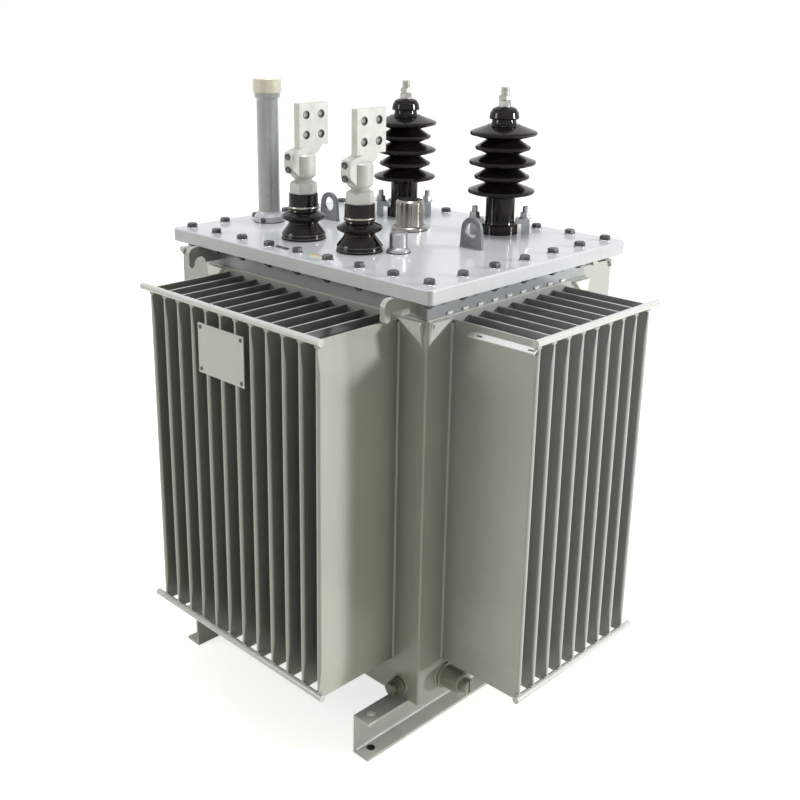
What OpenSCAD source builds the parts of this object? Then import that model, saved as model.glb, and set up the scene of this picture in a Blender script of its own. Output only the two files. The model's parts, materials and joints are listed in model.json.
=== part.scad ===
// Oil filled power transformer with corrugated cooling walls, a bolted lid,
// two shedded high voltage bushings and two low voltage bushings with pads.
// Millimetres, +Z up, front is -Y, origin on the ground under the tank centre.

/* [Base channels] */
// Distance of each hole row inside the tank wall
channel_inset = 45.5; // [30:0.5:90]
// Reach of each channel past the front and back walls
channel_reach = 112.5; // [90:0.5:140]
// Height of the channel section
channel_h = 86; // [70:1:110]
// Flange width of the channel section
channel_b = 41; // [36:1:50]
// Web thickness
channel_web_t = 6; // [4:0.5:8]
// Flange thickness at the tip
channel_tip_t = 6; // [4:0.5:7]
// Flange thickness at the web
channel_root_t = 9; // [8:0.5:12]
// Radius of the holding down holes
channel_hole_r = 9; // [6:0.5:11]
// Distance from a channel end to its hole
channel_hole_end = 28; // [20:1:50]

/* [Tank] */
// Tank width over the flat walls
tank_w = 645; // [560:1:760]
// Tank depth over the flat walls
tank_d = 495; // [430:1:600]
// Height from the channels to the top edge of the wall panels
tank_h = 794; // [600:1:900]
// Wall sheet thickness as built
wall_t = 8; // [6:0.5:10]
// Floor plate thickness
floor_t = 8; // [5:0.5:12]
// Outer radius of the tank corners
corner_r = 4; // [3:0.5:8]
// Width of the corner strip on each face
post_leg = 18; // [16:1:22]
// Distance of a front gusset from the tank corner
gusset_in = 10; // [8:0.5:12]
// Clearance between a corner gusset and the nearest fin root
gusset_clear = 1; // [0.5:0.5:12]
// Height of a corner gusset
gusset_h = 44; // [25:1:70]
// Thickness of a corner gusset at its lower tip
gusset_t = 2; // [1:0.5:4]
// Reach of a leaning gusset's upper edge from the wall
gusset_lean = 10; // [6:0.5:14]

/* [Cooling fins] */
// Number of fins on the front and on the back
front_count = 12; // [6:1:12]
// Number of fins on each side
side_count = 9; // [5:1:9]
// Distance from a tank corner to the nearest fin
fin_margin = 74; // [60:0.5:90]
// Depth of the front fins
front_depth = 199; // [120:1:240]
// Depth of the side fins
side_depth = 191.5; // [120:0.5:240]
// Thickness of a fin
fin_t = 11; // [9:0.5:13]
// Height of the fin bottoms above the channels
fin_lift = 75.5; // [60:0.5:90]
// Gap between the fin tops and the top edge of the wall panels
fin_gap = 7; // [2:0.5:20]
// Thickness of the pressed seam along fin tops and bottoms
seam_t = 5; // [3:0.5:7]
// Height of the pressed seam
seam_h = 18; // [10:1:26]
// Length over which a fin swells from seam to full thickness
pinch_h = 46; // [20:1:80]
// Radius of the bend between fin and wall
root_r = 4; // [3:0.5:9]

/* [Tie rods] */
// Diameter of the rods along the fin noses
rod_d = 14; // [10:0.5:18]
// Distance of the rod centre behind the nose plane
rod_inset = 3; // [1:0.5:6]
// Distance of the rod centre inside the fin ends
rod_drop = 3; // [1:0.5:6]
// Rod overhang past the last fin at the near corner
rod_near = 9; // [6:1:16]
// Rod overhang past the last fin at the far corner
rod_far = 34; // [10:1:44]
// Clearance around a rod in its notch
rod_clear = 0.3; // [0.2:0.1:0.6]

/* [Rim and lid] */
// Height of the rim leg between wall panels and flange
rim_h = 54; // [46:1:80]
// Setback of the rim leg behind the wall faces
rim_setback = 4; // [2:0.5:5]
// Plan radius of the rim corners
rim_corner_r = 3; // [2:0.5:8]
// Thickness of the rim flange
rim_flange_t = 10; // [8:0.5:14]
// Gasket thickness
gasket_t = 6; // [3:0.5:8]
// Lid plate thickness
lid_t = 8; // [6:0.5:12]
// Overhang of the lid past the wall faces
lid_overhang = 52.5; // [42:0.5:60]
// Height of the turned down lid edge
lip_h = 27; // [25:0.5:34]
// Thickness of the turned down lid edge
lip_t = 6; // [4:0.5:7]
// Plan radius of the lid corners
lid_corner_r = 10; // [8:0.5:24]
// Radius of the upper lid edges
lid_edge_r = 3.5; // [2:0.5:7]
// Clearance between rim flange and lid edge
flange_clear = 2; // [1:0.5:4]

/* [High voltage bushings] */
// Distance of both bushings behind the lid centre
hv_y = 173; // [165:1:185]
// Position of the first bushing along the lid
hv_a_x = -131; // [-150:1:-120]
// Position of the second bushing along the lid
hv_b_x = 146; // [130:1:160]
// Radius of the large sheds
hv_shed_r = 70; // [60:1:78]
// Radius of the small sheds
hv_small_r = 58; // [48:1:66]
// Radius of the core between sheds
hv_core_r = 32.5; // [28:0.5:36]
// Radius of the foot flange
hv_foot_r = 38; // [37.5:0.5:41]
// Height of the foot flange
hv_foot_h = 21; // [18:0.5:24]
// Height of the lowest shed tip
hv_first_shed = 89.5; // [88:0.5:100]
// Spacing of the sheds
hv_pitch = 30; // [28:0.5:34]
// Radius of the domed cap
hv_cap_r = 31; // [28:0.5:34]
// Height of the neck between the top shed tip and the cap
hv_neck_h = 29.5; // [24:0.5:34]
// Height of the domed cap
hv_cap_h = 23.5; // [20:0.5:30]
// Turn of the foot clamps about the bushing axis
hv_clamp_turn = 42; // [30:1:60]
// Width of a foot clamp
hv_clamp_w = 22; // [16:1:26]
// Radius of the terminal stud
hv_stud_r = 8; // [6:0.5:10]
// Length of stud above the nuts
hv_stud_len = 17; // [12:1:30]

/* [Low voltage bushings] */
// Distance of both bushings in front of the lid centre
lv_y = -165.5; // [-172:0.5:-155]
// Position of the first bushing along the lid
lv_a_x = -97.5; // [-110:0.5:-88]
// Position of the second bushing along the lid
lv_b_x = 67.5; // [55:0.5:70]
// Radius of skirt and shed
lv_skirt_r = 45; // [41:0.5:48]
// Radius of the upper cylinder
lv_top_r = 30; // [28:0.5:32]
// Height of the porcelain
lv_h = 94.5; // [90:0.5:110]
// Height of the clamping nut
lv_nut_h = 26; // [22:1:32]
// Radius of the clamp barrel
barrel_r = 26; // [23:0.5:29]
// Height of the clamp barrel
barrel_h = 54; // [48:1:64]
// Reach of the clamp block from the barrel axis
block_reach = 39; // [36:1:50]
// Thickness of the clamp block
block_t = 27; // [22:1:34]
// Height of the pad's lower edge above the clamp's foot
pad_rise = 68; // [64:1:90]
// Offset of the pad centre behind the bushing axis
pad_y = 23; // [18:1:28]
// Width of the terminal pad
pad_w = 78; // [76:1:90]
// Height of the terminal pad
pad_h = 86; // [78:1:100]
// Thickness of the terminal pad
pad_t = 16; // [12:0.5:20]
// Spacing of the pad holes
pad_pitch = 40; // [36:0.5:46]
// Radius of the pad holes
pad_hole_r = 7.2; // [5:0.2:8]

/* [Oil gauge tube] */
// Position of the tube along the lid
gauge_x = -287.5; // [-296:0.5:-270]
// Position of the tube across the lid
gauge_y = -98.5; // [-120:0.5:-80]
// Outer radius of the tube
gauge_r = 24; // [22:0.5:26]
// Height of the tube with its collar
gauge_h = 282; // [240:1:320]
// Height of the screw cap
gauge_cap_h = 30; // [24:1:40]

/* [Lid fittings] */
// Position of the relief valve along the lid
relief_x = -8; // [-30:1:20]
// Position of the relief valve across the lid
relief_y = 60; // [50:1:80]
// Radius of the relief valve body
relief_r = 30; // [24:0.5:32]
// Height of the relief valve
relief_h = 65; // [48:1:80]
// Position of the thermometer pocket along the lid
pocket_x = 130; // [125:1:150]
// Position of the thermometer pocket across the lid
pocket_y = -120.5; // [-124:0.5:-80]
// Height of the thermometer pocket
pocket_h = 40; // [32:1:60]
// Distance of the lifting lugs from the lid centre
lug_x = 206; // [195:1:250]
// Distance of the lifting lugs behind the lid centre
lug_y = 10; // [-20:1:20]
// Width of a lifting lug
lug_w = 56; // [50:1:70]
// Thickness of a lifting lug
lug_t = 7; // [6:0.5:12]
// Height of a lifting lug
lug_h = 62; // [56:1:80]
// Radius of the lifting hole
lug_hole_r = 15.5; // [10:0.5:17]

/* [Tank fittings] */
// Distance of the tie down hooks inside the tank sides
hook_inset = 35.5; // [25:0.5:48]
// Reach of a hook from the rim leg
hook_reach = 82.5; // [66:0.5:90]
// Thickness of a hook
hook_t = 12; // [8:0.5:16]
// Depth of a hook from its upper edge to its tip
hook_h = 43; // [40:1:50]
// Distance of the drain valve inside the front wall
drain_inset = 79.5; // [68:0.5:130]
// Height of the drain valve above the channels
drain_lift = 38; // [34:1:42]
// Radius of the drain valve flange
drain_r = 28; // [24:0.5:32]
// Distance of the earth boss inside the right wall
earth_inset = 46.5; // [30:0.5:52]
// Height of the earth boss above the channels
earth_lift = 29; // [20:1:40]
// Width of the front plate
plate_w = 140; // [100:1:200]
// Height of the front plate
plate_h = 101; // [60:1:140]
// Thickness of the front plate
plate_t = 2; // [1:0.5:4]
// Position of the front plate centre along the fins
plate_x = -20; // [-60:1:60]
// Distance of the front plate below the fin tops
plate_drop = 38; // [30:1:120]
// Length of the plate rail on the right fin pack
rail_len = 146; // [80:1:156]
// Reach of the rail's sloping strip from the fin
rail_out = 11; // [8:0.5:16]
// Fall of the sloping strip
rail_fall = 7; // [4:0.5:10]
// Sheet thickness of the rail
rail_t = 2.5; // [2:0.5:3]

/* [Hidden] */
$fn = 64;
paint = [0.74, 0.75, 0.72];
pale = [0.86, 0.86, 0.83];
steel = [0.62, 0.63, 0.64];
porcelain = [0.10, 0.08, 0.07];
tinned = [0.88, 0.86, 0.80];
cream = [0.93, 0.91, 0.82];
rubber_black = [0.08, 0.08, 0.08];
zinc = [0.70, 0.72, 0.73];
half_w = tank_w / 2;
half_d = tank_d / 2;
floor_z = channel_h + floor_t;
wall_z = channel_h + tank_h;
flange_z = wall_z + rim_h;
gasket_z = flange_z + rim_flange_t;
lid_z = gasket_z + gasket_t;
top_z = lid_z + lid_t;
lid_w = tank_w + 2 * lid_overhang;
lid_d = tank_d + 2 * lid_overhang;
lip_z = top_z - lip_h;
fin_z = channel_h + fin_lift;
fin_h = tank_h - fin_lift - fin_gap;
fin_top = fin_z + fin_h;
front_span = tank_w - 2 * fin_margin;
side_span = tank_d - 2 * fin_margin;
gusset_w = fin_margin - gusset_in - fin_t / 2 - root_r - gusset_clear;
side_gusset_w = gusset_w - corner_r;
channel_gauge = tank_w - 2 * channel_inset;
channel_len = tank_d + 2 * channel_reach;
rod_r = rod_d / 2;
rim_w = tank_w - 2 * rim_setback;
rim_d = tank_d - 2 * rim_setback;
flange_w = lid_w - 2 * lip_t - 2 * flange_clear;
flange_d = lid_d - 2 * lip_t - 2 * flange_clear;
channel_x = channel_gauge / 2 - channel_b / 2;
hole_y = channel_len / 2 - channel_hole_end;
nut_z = top_z + lv_h;
clamp_z = nut_z + lv_nut_h;
hv_cap_z = hv_first_shed + 4 * hv_pitch + hv_neck_h;
hv_top = hv_cap_z + hv_cap_h;
over = 1;

// Rolled channel section with tapered flanges, web on the inner side
module channel_section() {
  polygon([[0, 0], [channel_b, 0], [channel_b, channel_tip_t],
    [channel_web_t, channel_root_t], [channel_web_t, channel_h - channel_root_t],
    [channel_b, channel_h - channel_tip_t], [channel_b, channel_h], [0, channel_h]]);
}

module channel_right() {
  difference() {
    translate([channel_x, channel_len / 2, 0])
      rotate([90, 0, 0])
        linear_extrude(channel_len) channel_section();
    for (s = [-1, 1])
      translate([channel_gauge / 2, s * hole_y, -over])
        cylinder(r = channel_hole_r, h = channel_h + 2 * over);
  }
}

module base_channel_right() {
  color(paint) channel_right();
}

module base_channel_left() {
  color(paint) mirror([1, 0, 0]) channel_right();
}

module rounded_plan(w, d, r) {
  square([w - 2 * r, d], center = true);
  square([w, d - 2 * r], center = true);
  for (sx = [-1, 1])
    for (sy = [-1, 1])
      translate([sx * (w / 2 - r), sy * (d / 2 - r)]) circle(r);
}

module tank_floor() {
  color(paint)
    translate([0, 0, channel_h])
      linear_extrude(floor_t) rounded_plan(tank_w, tank_d, corner_r);
}

// Plan of one fin standing out towards -Y from the wall line
module fin_plan(depth) {
  translate([-fin_t / 2, -(depth - fin_t / 2)]) square([fin_t, depth - fin_t / 2]);
  translate([0, -(depth - fin_t / 2)]) circle(fin_t / 2);
}

// Fin seen along its depth, pressed to a thin seam at both ends
module fin_press() {
  a = seam_t / 2;
  b = fin_t / 2;
  z1 = seam_h;
  z2 = seam_h + pinch_h;
  z3 = fin_h - z2;
  z4 = fin_h - z1;
  polygon([[-a, 0], [a, 0], [a, z1], [b, z2], [b, z3], [a, z4], [a, fin_h],
    [-a, fin_h], [-a, z4], [-b, z3], [-b, z2], [-a, z1]]);
}

module fin(depth) {
  intersection() {
    linear_extrude(fin_h) fin_plan(depth);
    translate([0, over, 0])
      rotate([90, 0, 0])
        linear_extrude(depth + 2 * over) fin_press();
  }
}

// Plan of the sheet bend on both sides of a fin root
module root_plan() {
  difference() {
    translate([-fin_t / 2 - root_r, -root_r]) square([fin_t + 2 * root_r, root_r]);
    for (s = [-1, 1])
      translate([s * (fin_t / 2 + root_r), -root_r]) circle(root_r);
  }
}

// Wall panel facing -Y with its row of fins and the notches for the rods
module fin_wall(width, count, span, depth) {
  pitch = span / (count - 1);
  nose_y = -(depth - rod_inset);
  translate([-width / 2, 0, floor_z]) cube([width, wall_t, wall_z - floor_z]);
  difference() {
    for (i = [0 : count - 1])
      translate([-span / 2 + i * pitch, 0, fin_z]) {
        fin(depth);
        translate([0, 0, seam_h / 4])
          linear_extrude(fin_h - seam_h / 2) root_plan();
      }
    for (z = [fin_z + rod_drop, fin_top - rod_drop])
      translate([-span / 2 - pitch, nose_y, z])
        rotate([0, 90, 0])
          cylinder(r = rod_r + rod_clear, h = span + 2 * pitch);
  }
}

module front_panel() {
  translate([0, -half_d, 0])
    fin_wall(tank_w - 2 * post_leg, front_count, front_span, front_depth);
}

module side_panel() {
  translate([half_w, 0, 0])
    rotate([0, 0, 90])
      fin_wall(tank_d - 2 * post_leg, side_count, side_span, side_depth);
}

module front_fin_wall() {
  color(paint) front_panel();
}

module back_fin_wall() {
  color(paint) mirror([0, 1, 0]) front_panel();
}

module right_fin_wall() {
  color(paint) side_panel();
}

module left_fin_wall() {
  color(paint) mirror([1, 0, 0]) side_panel();
}

// Plan of a corner strip, outer corner at the origin, legs towards -X and +Y
module post_plan() {
  difference() {
    union() {
      translate([-post_leg, 0]) square([post_leg - corner_r, post_leg]);
      translate([-post_leg, corner_r]) square([post_leg, post_leg - corner_r]);
      intersection() {
        translate([-corner_r, corner_r]) circle(corner_r);
        translate([-corner_r, 0]) square(corner_r);
      }
    }
    translate([-post_leg - over, wall_t])
      square([post_leg - wall_t + over, post_leg]);
  }
}

module four_corners() {
  for (sx = [0, 1])
    for (sy = [0, 1])
      mirror([sx, 0, 0]) mirror([0, sy, 0]) children();
}

module corner_posts() {
  color(paint)
    four_corners()
      translate([half_w, -half_d, floor_z])
        linear_extrude(wall_z - floor_z) post_plan();
}

// Triangle leaning out from a wall facing -Y, square edge at the origin
module leaning_gusset(w) {
  intersection() {
    translate([0, over, 0])
      rotate([90, 0, 0])
        linear_extrude(2 * gusset_lean) polygon([[0, 0], [-w, 0], [0, -gusset_h]]);
    translate([-w - over, 0, 0])
      rotate([90, 0, 90])
        linear_extrude(w + 2 * over)
          polygon([[0, 0], [0, -gusset_h - over], [-gusset_t, -gusset_h - over], [-gusset_lean, 0]]);
  }
}

// Leaning gussets on both faces of each upper tank corner
module corner_gussets() {
  color(paint)
    four_corners() {
      translate([half_w - gusset_in, -half_d, wall_z]) leaning_gusset(gusset_w);
      translate([half_w, -half_d + corner_r, wall_z])
        rotate([0, 0, 90]) mirror([1, 0, 0]) leaning_gusset(side_gusset_w);
    }
}

// Rim leg around the tank mouth with a flange turned outwards
module top_rim() {
  color(paint) {
    difference() {
      union() {
        translate([0, 0, wall_z])
          linear_extrude(rim_h + over) rounded_plan(rim_w, rim_d, rim_corner_r);
        translate([0, 0, flange_z])
          linear_extrude(rim_flange_t) rounded_plan(flange_w, flange_d, rim_corner_r);
      }
      translate([0, 0, wall_z - over])
        linear_extrude(rim_h + rim_flange_t + 2 * over)
          square([rim_w - 2 * wall_t, rim_d - 2 * wall_t], center = true);
    }
  }
}

module lid_gasket() {
  color(rubber_black)
    translate([0, 0, gasket_z])
      linear_extrude(gasket_t)
        difference() {
          rounded_plan(flange_w, flange_d, rim_corner_r);
          square([rim_w - 2 * wall_t, rim_d - 2 * wall_t], center = true);
        }
}

// Section of the lid edge, rounded along its upper side
module lid_edge_section(w) {
  translate([-w / 2, 0]) square([w, lip_h - lid_edge_r]);
  translate([-w / 2 + lid_edge_r, 0]) square([w - 2 * lid_edge_r, lip_h]);
  for (s = [-1, 1])
    translate([s * (w / 2 - lid_edge_r), lip_h - lid_edge_r]) circle(lid_edge_r);
}

module lid_corner_section() {
  square([lid_corner_r, lip_h - lid_edge_r]);
  square([lid_corner_r - lid_edge_r, lip_h]);
  translate([lid_corner_r - lid_edge_r, lip_h - lid_edge_r]) circle(lid_edge_r);
}

module lid_block() {
  long_x = lid_w - 2 * lid_corner_r;
  long_y = lid_d - 2 * lid_corner_r;
  translate([-long_x / 2, 0, 0])
    rotate([90, 0, 90]) linear_extrude(long_x) lid_edge_section(lid_d);
  translate([0, long_y / 2, 0])
    rotate([90, 0, 0]) linear_extrude(long_y) lid_edge_section(lid_w);
  four_corners()
    translate([long_x / 2, long_y / 2, 0]) rotate_extrude() lid_corner_section();
}

module lid() {
  inner_r = lid_corner_r - lip_t;
  color(pale)
    difference() {
      translate([0, 0, lip_z]) lid_block();
      translate([0, 0, lip_z - over])
        linear_extrude(lip_h - lid_t + over)
          rounded_plan(lid_w - 2 * lip_t, lid_d - 2 * lip_t, inner_r);
    }
}

// Upper and lower rod of a fin pack facing -Y, near end towards +X
module rod_pair(span, wall_y, depth) {
  for (z = [fin_z + rod_drop, fin_top - rod_drop])
    translate([-span / 2 - rod_far, wall_y - depth + rod_inset, z])
      rotate([0, 90, 0]) cylinder(r = rod_r, h = span + rod_near + rod_far);
}

module side_rods() {
  rotate([0, 0, 90]) mirror([1, 0, 0]) rod_pair(side_span, -half_w, side_depth);
}

module front_tie_rods() {
  color(paint) rod_pair(front_span, -half_d, front_depth);
}

module back_tie_rods() {
  color(paint) mirror([0, 1, 0]) rod_pair(front_span, -half_d, front_depth);
}

module right_tie_rods() {
  color(paint) side_rods();
}

module left_tie_rods() {
  color(paint) mirror([1, 0, 0]) side_rods();
}

// Oil gauge and filling tube
module gauge_base() {
  color(paint)
    translate([gauge_x, gauge_y, top_z])
      rotate_extrude()
        polygon([[0, 0], [33, 0], [33, 13], [31, 15], [gauge_r + 3, 19],
          [gauge_r + 1, 24], [0, 24]]);
}

module gauge_tube() {
  color(pale)
    translate([gauge_x, gauge_y, top_z])
      rotate_extrude()
        polygon([[0, 24], [gauge_r, 24], [gauge_r, gauge_h - 15], [gauge_r + 4, gauge_h - 10],
          [gauge_r + 4.5, gauge_h], [0, gauge_h]]);
}

module gauge_cap() {
  cap_r = gauge_r + 7;
  color(cream)
    translate([gauge_x, gauge_y, top_z + gauge_h])
      rotate_extrude()
        polygon([[0, 0], [cap_r, 0], [cap_r, gauge_cap_h - 2], [cap_r - 2, gauge_cap_h],
          [0, gauge_cap_h]]);
}

// Low voltage porcelain, skirt and one shed below a plain upper cylinder
module lv_porcelain() {
  r = lv_skirt_r;
  t = lv_top_r;
  rotate_extrude()
    polygon([[0, 0], [r - 2, 0], [r, 3], [r, 10], [r - 2, 15], [r - 11, 27], [r - 14, 32],
      [r - 14, 35.5], [r - 4, 40.5], [r - 0.5, 43.5], [r, 46.5], [r - 2, 49.5], [t - 1, 57.5],
      [t - 2, 60.5], [t + 1, 61.5], [t + 1, 64.5], [t, 66.5], [t, lv_h - 2], [t - 1.5, lv_h],
      [0, lv_h]]);
}

module lv_bushing_a() {
  color(porcelain) translate([lv_a_x, lv_y, top_z]) lv_porcelain();
}

module lv_bushing_b() {
  color(porcelain) translate([lv_b_x, lv_y, top_z]) lv_porcelain();
}

// Clamping nut, hexagonal with a turned chamfer
module lv_clamp_nut() {
  r = lv_top_r - 1.5;
  intersection() {
    cylinder(r = r, h = lv_nut_h, $fn = 6);
    rotate_extrude()
      polygon([[0, 0], [r, 0], [r, lv_nut_h - 6], [r - 10, lv_nut_h], [0, lv_nut_h]]);
  }
}

module lv_nut_a() {
  color(tinned) translate([lv_a_x, lv_y, nut_z]) lv_clamp_nut();
}

module lv_nut_b() {
  color(tinned) translate([lv_b_x, lv_y, nut_z]) lv_clamp_nut();
}

// Side outline of the clamp block, barrel axis at zero, block towards -X
module block_outline() {
  polygon([[0, barrel_h / 9], [-block_reach * 0.42, barrel_h / 8], [-block_reach * 0.92, barrel_h * 0.41],
    [-block_reach, barrel_h * 0.52], [-block_reach, barrel_h], [-block_reach * 0.92, barrel_h * 1.09],
    [-block_reach * 0.27, barrel_h * 1.24], [-block_reach * 0.08, barrel_h * 1.24],
    [block_reach * 0.04, barrel_h * 1.15], [block_reach * 0.08, barrel_h * 0.96]]);
}

// Side outline of the pad and the stem that joins it to the barrel
module pad_outline() {
  low = pad_y - pad_w / 2;
  high = pad_y + pad_w / 2;
  stem = barrel_r - 1;
  polygon([[-barrel_r / 2, barrel_h / 2], [stem, barrel_h / 2], [stem, barrel_h - 4],
    [high - pad_w / 3, pad_rise - 12], [high - pad_w * 0.27, pad_rise - 6],
    [high - pad_w * 0.24, pad_rise - 1], [high - pad_w * 0.18, pad_rise], [high, pad_rise],
    [high, pad_rise + pad_h], [low, pad_rise + pad_h], [low, pad_rise - 12]]);
}

// Stud clamp with a block for set screws and a four hole pad facing +X
module lv_connector() {
  rotate_extrude()
    polygon([[0, 0], [barrel_r - 9, 0], [barrel_r - 8, 3], [barrel_r - 1, 9], [barrel_r, 12],
      [barrel_r, barrel_h - 4], [barrel_r - 4, barrel_h], [0, barrel_h]]);
  translate([-block_t / 2, 0, 0])
    rotate([90, 0, 90]) linear_extrude(block_t) block_outline();
  difference() {
    translate([-pad_t / 2, 0, 0])
      rotate([90, 0, 90]) linear_extrude(pad_t) pad_outline();
    for (sy = [-1, 1])
      for (sz = [-1, 1])
        translate([-pad_t, pad_y + sy * pad_pitch / 2, pad_rise + pad_h / 2 + sz * pad_pitch / 2])
          rotate([0, 90, 0]) cylinder(r = pad_hole_r, h = 2 * pad_t);
  }
}

module lv_connector_a() {
  color(tinned) translate([lv_a_x, lv_y, clamp_z]) lv_connector();
}

module lv_connector_b() {
  color(tinned) translate([lv_b_x, lv_y, clamp_z]) lv_connector();
}

// One shed as a closed half section, tip at radius r and height z
module shed_section(r, z) {
  c = hv_core_r;
  polygon([[0, z - 13], [c, z - 13], [r - 8, z - 6], [r - 1.5, z - 3.5], [r, z], [r - 1.5, z + 3.5],
    [r - 6, z + 5.5], [c + 3, z + 16], [c, z + 18], [0, z + 18]]);
}

// High voltage porcelain, five sheds of alternating width under a domed cap
module hv_porcelain() {
  c = hv_core_r;
  f = hv_foot_r;
  h = hv_foot_h;
  k = hv_cap_r;
  rotate_extrude() {
    polygon([[0, 0], [f, 0], [f, h - 2], [f - 2, h], [c - 1, h], [c - 2, h + 3], [c - 2, hv_first_shed - 14],
      [c, hv_first_shed - 12], [c, hv_cap_z - 26], [c - 7, hv_cap_z - 8], [c - 8, hv_cap_z - 2],
      [k - 1, hv_cap_z - 1], [k, hv_cap_z + 2], [k - 2, hv_cap_z + 12], [k - 7, hv_cap_z + 20],
      [k - 14, hv_top], [0, hv_top]]);
    for (i = [0 : 4])
      shed_section(i % 2 == 0 ? hv_shed_r : hv_small_r, hv_first_shed + i * hv_pitch);
  }
}

module hv_bushing_a() {
  color(porcelain) translate([hv_a_x, hv_y, top_z]) hv_porcelain();
}

module hv_bushing_b() {
  color(porcelain) translate([hv_b_x, hv_y, top_z]) hv_porcelain();
}

// Stud with washer and two nuts on top of the cap
module hv_stud() {
  nut_r = 13.5;
  washer_r = 12.5;
  rotate_extrude()
    polygon([[0, 0], [washer_r, 0], [washer_r, 3], [hv_stud_r, 3], [hv_stud_r, 23 + hv_stud_len - 2],
      [hv_stud_r - 2, 23 + hv_stud_len], [0, 23 + hv_stud_len]]);
  translate([0, 0, 3]) cylinder(r = nut_r, h = 9, $fn = 6);
  translate([0, 0, 14]) rotate([0, 0, 20]) cylinder(r = nut_r, h = 9, $fn = 6);
}

module hv_terminal_a() {
  color(tinned) translate([hv_a_x, hv_y, top_z + hv_top]) hv_stud();
}

module hv_terminal_b() {
  color(tinned) translate([hv_b_x, hv_y, top_z + hv_top]) hv_stud();
}

// Two angled clamps that hold the foot flange, one on each side
module hv_clamp_pair() {
  h = hv_foot_h;
  arm_t = 11;
  inner_r = hv_core_r + 0.5;
  leg_r = hv_foot_r + 9;
  leg_t = 15;
  for (s = [0, 180])
    rotate([0, 0, hv_clamp_turn + s])
      translate([0, hv_clamp_w / 2, 0])
        rotate([90, 0, 0])
          linear_extrude(hv_clamp_w)
            polygon([[inner_r, h], [leg_r, h], [leg_r, 0], [leg_r + leg_t, 0], [leg_r + leg_t, h + arm_t - 3],
              [leg_r + leg_t - 3, h + arm_t], [inner_r + 3, h + arm_t], [inner_r, h + arm_t - 3]]);
}

module hv_clamps_a() {
  color(zinc) translate([hv_a_x, hv_y, top_z]) hv_clamp_pair();
}

module hv_clamps_b() {
  color(zinc) translate([hv_b_x, hv_y, top_z]) hv_clamp_pair();
}

// Pressure relief valve, fluted body on a round base
module relief_valve_base() {
  color(steel)
    translate([relief_x, relief_y, top_z])
      rotate_extrude()
        polygon([[0, 0], [37, 0], [37, 7], [35, 9], [relief_r + 2, 10], [0, 10]]);
}

module relief_valve_body() {
  flutes = 16;
  color(steel)
    translate([relief_x, relief_y, top_z + 10])
      difference() {
        rotate_extrude()
          polygon([[0, 0], [relief_r, 0], [relief_r, relief_h - 14], [relief_r - 4, relief_h - 10],
            [0, relief_h - 10]]);
        for (i = [0 : flutes - 1])
          rotate([0, 0, i * 360 / flutes])
            translate([relief_r + 1, 0, 3]) cylinder(r = 2.6, h = relief_h - 22);
      }
}

module thermometer_pocket() {
  color(zinc)
    translate([pocket_x, pocket_y, top_z])
      rotate_extrude()
        polygon([[0, 0], [23, 0], [23, 5], [21, 8], [18, 11], [18, pocket_h - 3],
          [15.5, pocket_h], [0, pocket_h]]);
}

// Lifting lug, plate across the lid with a round eye
module lug_plate() {
  r = lug_w / 2 - 3;
  translate([0, lug_t / 2, 0])
    rotate([90, 0, 0])
      linear_extrude(lug_t)
        difference() {
          union() {
            polygon([[-lug_w / 2, 0], [lug_w / 2, 0], [r, lug_h - r], [-r, lug_h - r]]);
            translate([0, lug_h - r]) circle(r);
          }
          translate([0, lug_h - r - 1]) circle(lug_hole_r);
        }
}

module lifting_lug_left() {
  color(paint) translate([-lug_x, lug_y, top_z]) lug_plate();
}

module lifting_lug_right() {
  color(paint) translate([lug_x, lug_y, top_z]) lug_plate();
}

// Outline of a tie down hook, wall at the origin, reach towards -X
module hook_outline() {
  tip_r = 7;
  notch_r = 14.5;
  bend = 16;
  notch_y = -(hook_reach - 2 * tip_r - notch_r);
  difference() {
    union() {
      translate([-hook_reach + bend, -hook_h + tip_r]) square([hook_reach - bend, hook_h - tip_r]);
      translate([-hook_reach, -hook_h + tip_r]) square([2 * bend, hook_h - tip_r - bend]);
      translate([-hook_reach + bend, -bend]) circle(bend);
      translate([-hook_reach + tip_r, -hook_h + tip_r]) circle(tip_r);
    }
    translate([notch_y, -hook_h + tip_r]) circle(notch_r);
    translate([notch_y - notch_r, -hook_h]) square([2 * notch_r, tip_r]);
  }
}

module tank_hooks() {
  color(paint)
    four_corners()
      translate([half_w - hook_inset - hook_t / 2, -half_d + rim_setback, lip_z - 1])
        rotate([90, 0, 90])
          linear_extrude(hook_t) hook_outline();
}

// Drain valve, stepped round body with a slotted end
module drain_valve() {
  color(steel)
    translate([half_w, -half_d + drain_inset, channel_h + drain_lift])
      difference() {
        rotate([0, 90, 0])
          rotate_extrude()
            polygon([[0, 0], [drain_r, 0], [drain_r, 8], [drain_r - 4, 10], [drain_r - 5, 48],
              [drain_r - 8, 52], [15, 52], [15, 64], [13, 66], [0, 66]]);
        translate([60, -2, -20]) cube([10, 4, 40]);
      }
}

// Earth boss with its hexagon bolt on the front wall
module earth_boss() {
  color(zinc)
    translate([half_w - earth_inset, -half_d, channel_h + earth_lift])
      rotate([90, 0, 0]) {
        rotate_extrude()
          polygon([[0, 0], [17, 0], [17, 8], [15, 10], [15, 22], [0, 22]]);
        translate([0, 0, 22]) cylinder(r = 13, h = 10, $fn = 6);
      }
}

module front_plate() {
  color(pale)
    translate([plate_x - plate_w / 2, -half_d - front_depth - plate_t,
      fin_top - plate_drop - plate_h])
      cube([plate_w, plate_t, plate_h]);
}

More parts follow.
